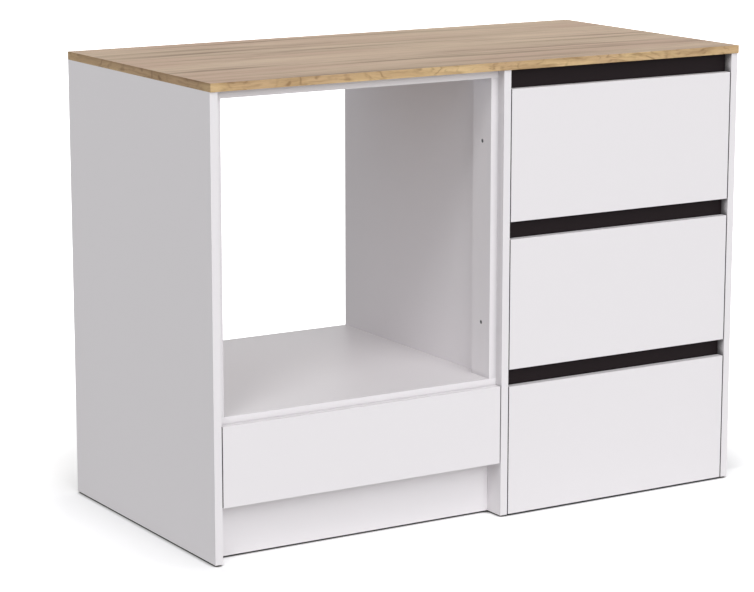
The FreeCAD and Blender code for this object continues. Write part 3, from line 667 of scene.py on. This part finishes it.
# The fronts' edges are darkened by painted shade only where they stand close to a panel.
FRONT_GAP_SHADE = {"Reach": 0.01, "Unshaded": 0.60, "Shaded": 0.22, "Share": 0.95}
white_front = faced_board("white_front_board", WHITE_MELAMINE, FRONT_DULLNESS, False, False,
                          painted_shade=(FRONT_GAP_SHADE,))
white_box = faced_board("white_box_board", WHITE_MELAMINE, MELAMINE_DULLNESS, True, True)
for name in DRAWERS:
    dress(f"{name}_drawer_front", white_front, FRONT_ARRIS)
    dress(f"{name}_drawer_back", white_box, BOX_ARRIS)
    dress(f"{name}_drawer_bottom", hardboard)
    cam_spots, screw_spots = [], []
    for side in ("left", "right"):
        dress(f"{name}_drawer_{side}_side", white_box, BOX_ARRIS)
        low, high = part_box(f"{name}_drawer_{side}_side")
        if side == "left":
            inner, outer, inwards = high.x, low.x, 1
            turn_in, turn_out = TOWARDS_PLUS_X, TOWARDS_MINUS_X
        else:
            inner, outer, inwards = low.x, high.x, -1
            turn_in, turn_out = TOWARDS_MINUS_X, TOWARDS_PLUS_X
        for z in (low.z + CAM_FROM_EDGE, high.z - CAM_FROM_EDGE):
            cam_spots.append((turn_in, (inner + inwards * BOX_CAM_PROUD,
                                        low.y + CAM_FROM_FRONT, z)))
        for z in (low.z + BACK_SCREW_LOW, high.z - BACK_SCREW_TOP):
            screw_spots.append((turn_out, (outer - inwards * BACK_HEAD_PROUD,
                                           high.y - BACK_HALF, z)))
    cam = round_blank(BOX_CAM, BOX_CAM_TALL, 32, (0, 0, -BOX_CAM_TALL / 2))
    apply_modifier(cam, "BEVEL", width=0.0002, segments=1, limit_method="ANGLE")
    cut_cross(cam, long=0.007, wide=0.0013, deep=0.0015)
    finish_piece(copies_at(cam, f"{name}_drawer_cams", cam_spots), zinc_casting, f"{name}_drawer")
    model = screw("screw", BACK_SCREW, BACK_SHANK, BACK_HEAD_DEEP, BACK_SCREW_LONG)
    finish_piece(copies_at(model, f"{name}_drawer_back_screws", screw_spots), zinc_casting,
                 f"{name}_drawer")

# ------------------------------------------------------------------ telescopic runners
# Cold-rolled steel strip, zinc plated: the cabinet member, the telescope and the drawer member.
# Low-headed screws hold the outer two, and a small moulded lever unhooks the drawer from each side.
STRIP, WAFER_TALL = 0.0012, 0.0009
END_SCREW, MIDDLE_SCREW, CABINET_LAST_SCREW = 0.035, 0.165, 0.46
LEVER_LONG, LEVER_TALL, LEVER_THICK, LEVER_END = 0.040, 0.0075, 0.0018, 0.238
PIVOT_ACROSS, PIVOT_TALL = 0.0044, 0.0006
runner_steel = steel_finish("runner_steel", (0.66, 0.67, 0.69, 1.0), 0.34)


def release_lever():
    """A flat bar with a wider finger end and a pivot, its back at Z = 0 and its length along Y."""
    deselect()
    bpy.ops.mesh.primitive_cube_add(size=1, location=(0, 0, LEVER_THICK / 2),
                                    scale=(LEVER_TALL * 0.6, LEVER_LONG, LEVER_THICK))
    lever = bpy.context.object
    bpy.ops.object.transform_apply(location=True, scale=True)
    edit_faces(lever, lambda normal: normal.y < -0.9)
    tip = -LEVER_LONG / 2
    # It flares to the finger end, runs on at that width and closes to a blunt tip.
    for reach, wider in ((0.004, 1.7), (0.010, 1.0), (0.003, 0.6)):
        bpy.ops.mesh.extrude_region_move(TRANSFORM_OT_translate={"value": (0, -reach, 0)})
        tip -= reach
        bpy.ops.transform.resize(value=(wider, 1, 1), center_override=(0, tip, LEVER_THICK / 2))
    bpy.ops.object.mode_set(mode="OBJECT")
    apply_modifier(lever, "BEVEL", width=0.0004, segments=2, limit_method="ANGLE")
    pivot = round_blank(PIVOT_ACROSS, PIVOT_TALL, 24,
                        (0, LEVER_LONG * 0.4, LEVER_THICK + PIVOT_TALL / 2))
    apply_modifier(pivot, "BEVEL", width=0.00025, segments=2, limit_method="ANGLE")
    lever.select_set(True)
    bpy.context.view_layer.objects.active = lever
    bpy.ops.object.join()
    return lever


for name in DRAWERS:
    for member in ("cabinet", "telescope", "drawer"):
        dress(f"{name}_{member}_runners", runner_steel)
    outer_low, outer_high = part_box(f"{name}_cabinet_runners")
    box_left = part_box(f"{name}_drawer_left_side")[0].x
    box_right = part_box(f"{name}_drawer_right_side")[1].x
    front, back = outer_low.y, outer_high.y
    middle = (outer_low.z + outer_high.z) / 2
    fixed, riding = [], []
    for y in (front + END_SCREW, front + CABINET_LAST_SCREW):
        fixed.append((TOWARDS_PLUS_X, (outer_low.x + STRIP, y, middle)))
        fixed.append((TOWARDS_MINUS_X, (outer_high.x - STRIP, y, middle)))
    for y in (front + END_SCREW, front + MIDDLE_SCREW, back - END_SCREW):
        riding.append((TOWARDS_MINUS_X, (box_left - STRIP, y, middle)))
        riding.append((TOWARDS_PLUS_X, (box_right + STRIP, y, middle)))
    y = front + LEVER_END - LEVER_LONG / 2
    levers = [(TOWARDS_MINUS_X, (box_left - STRIP, y, middle)),
              (TOWARDS_PLUS_X, (box_right + STRIP, y, middle))]
    finish_piece(copies_at(low_headed_screw(WAFER_TALL), f"{name}_cabinet_runner_screws", fixed),
                 zinc_casting, "carcass")
    finish_piece(copies_at(low_headed_screw(PAN_TALL), f"{name}_drawer_runner_screws", riding),
                 zinc_casting, f"{name}_drawer")
    finish_piece(copies_at(release_lever(), f"{name}_release_levers", levers), white_plastic,
                 f"{name}_drawer")

# ------------------------------------------------------------------ camera
# It stands at the front left, higher than the worktop, and looks down at the stand through a long
# lens, so that the stand's long edges stay nearly parallel.
camera = bpy.data.objects.new("camera", bpy.data.cameras.new("camera"))
bpy.context.scene.collection.objects.link(camera)
camera.location = (-2.821, -4.520, 1.494)
camera.rotation_euler = (math.radians(78.360), 0, math.radians(-31.331))
camera.data.sensor_width, camera.data.lens = 36.0, 128.09
camera.data.clip_end = 100
bpy.context.scene.camera = camera

# ------------------------------------------------------------------ floor and studio light
# A wide white floor that keeps the stand's shadow, with painted shade at the stand's foot and
# painted light in the toe space, a pale surround, and three soft lamps a long way off: two at the
# front and one at the front left.
SHADE_REACH, FOOT_REACH, SHADE_ENDS, SURROUND_STARTS = 0.2, 0.02, 0.7, 1.5
TOE_FADE, SIDE_FADE, TOE_OPENNESS, GLOW = 0.012, 0.03, 0.92, 0.47
FOOT_DARK, SHADE = (0.10, 0.10, 0.10, 1), (0.72, 0.72, 0.73, 1)
BOUNCE, TOE_BOUNCE = (0.62, 0.62, 0.62, 1), (0.78, 0.78, 0.78, 1)
AMBIENT = 0.458
deselect()
bpy.ops.mesh.primitive_plane_add(size=60)
floor = bpy.context.object
floor.name = "floor"
floor_white, tree, shader, place = new_finish("floor_white", Roughness=0.9, Specular_IOR_Level=0.0)
shader.inputs["Emission Color"].default_value = (1, 1, 1, 1)
seen = add_node(tree, "LightPath").outputs["Is Camera Ray"]
# Painted shade: where the stand is close, the floor's colour and glow are darker.
near = add_node(tree, "AmbientOcclusion", {"Distance": SHADE_REACH}).outputs["AO"]
foot = add_node(tree, "AmbientOcclusion", {"Distance": FOOT_REACH}).outputs["AO"]
under = ramp(tree, foot, 0.25, 0.75)
shaded = blend_colours(tree, under, FOOT_DARK, SHADE)
# Painted light: the floor's colour is brighter in the toe space and in front of it, and throws
# more light up onto the plinth.
spot = add_node(tree, "SeparateXYZ", {0: place}).outputs
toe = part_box("plinth")[0]
in_front = maths(tree, "MULTIPLY", ramp(tree, spot["Y"], toe.y + TOE_FADE, toe.y),
                 ramp(tree, spot["X"], toe.x - SIDE_FADE, toe.x))
in_toe = maths(tree, "MULTIPLY", in_front, maths(tree, "GREATER_THAN", spot["Y"], cad_low.y))
near = maths(tree, "MAXIMUM", near, maths(tree, "MULTIPLY", in_front, TOE_OPENNESS))
bounced = blend_colours(tree, in_toe, BOUNCE, TOE_BOUNCE)
tree.links.new(blend_colours(tree, seen, bounced, shaded), shader.inputs["Base Color"])
# Past the shadow's reach the floor runs into the white surround.
distance = add_node(tree, "VectorMath", {0: place}, operation="LENGTH").outputs["Value"]
away = ramp(tree, distance, SHADE_ENDS, SURROUND_STARTS)
open_floor = maths(tree, "MULTIPLY", near, under)
glow = maths(tree, "ADD", maths(tree, "MULTIPLY", open_floor, GLOW), away)
tree.links.new(maths(tree, "MULTIPLY", seen, glow), shader.inputs["Emission Strength"])
# From underneath the camera looks through the floor.
clear = add_node(tree, "BsdfTransparent").outputs[0]
below = maths(tree, "MULTIPLY", seen, add_node(tree, "NewGeometry").outputs["Backfacing"])
either = add_node(tree, "MixShader", {0: below, 1: shader.outputs[0], 2: clear}).outputs[0]
tree.links.new(either, tree.nodes["Material Output"].inputs["Surface"])
floor.data.materials.append(floor_white)

surround = bpy.data.worlds.new("surround")
bpy.context.scene.world = surround
surround.use_nodes = True
tree = surround.node_tree
rays = add_node(tree, "LightPath").outputs
shown = maths(tree, "ADD", rays["Is Camera Ray"], maths(
    tree, "ADD", rays["Is Glossy Ray"], rays["Is Transmission Ray"]), clamp=True)
background = tree.nodes["Background"]
background.inputs["Color"].default_value = (1, 1, 1, 1)
tree.links.new(maths(tree, "ADD", maths(tree, "MULTIPLY", shown, 1.0 - AMBIENT), AMBIENT),
               background.inputs["Strength"])


def soft_lamp(name, towards, power, spread):
    """A broad, even lamp a long way off, in the direction given from the stand."""
    lamp = bpy.data.objects.new(name, bpy.data.lights.new(name, "SUN"))
    bpy.context.scene.collection.objects.link(lamp)
    lamp.data.energy, lamp.data.angle = power * math.pi, math.radians(spread)
    lamp.location = towards * 5
    lamp.rotation_euler = (-towards).to_track_quat("-Z", "Y").to_euler()


soft_lamp("front_lamp", Vector((-0.10, -0.84, 0.53)), 0.319, 40)
soft_lamp("low_front_lamp", Vector((0.0, -0.99, 0.14)), 0.185, 40)
soft_lamp("left_lamp", Vector((-0.49, -0.41, 0.77)), 0.224, 18)

bpy.context.scene.view_settings.view_transform = "Standard"
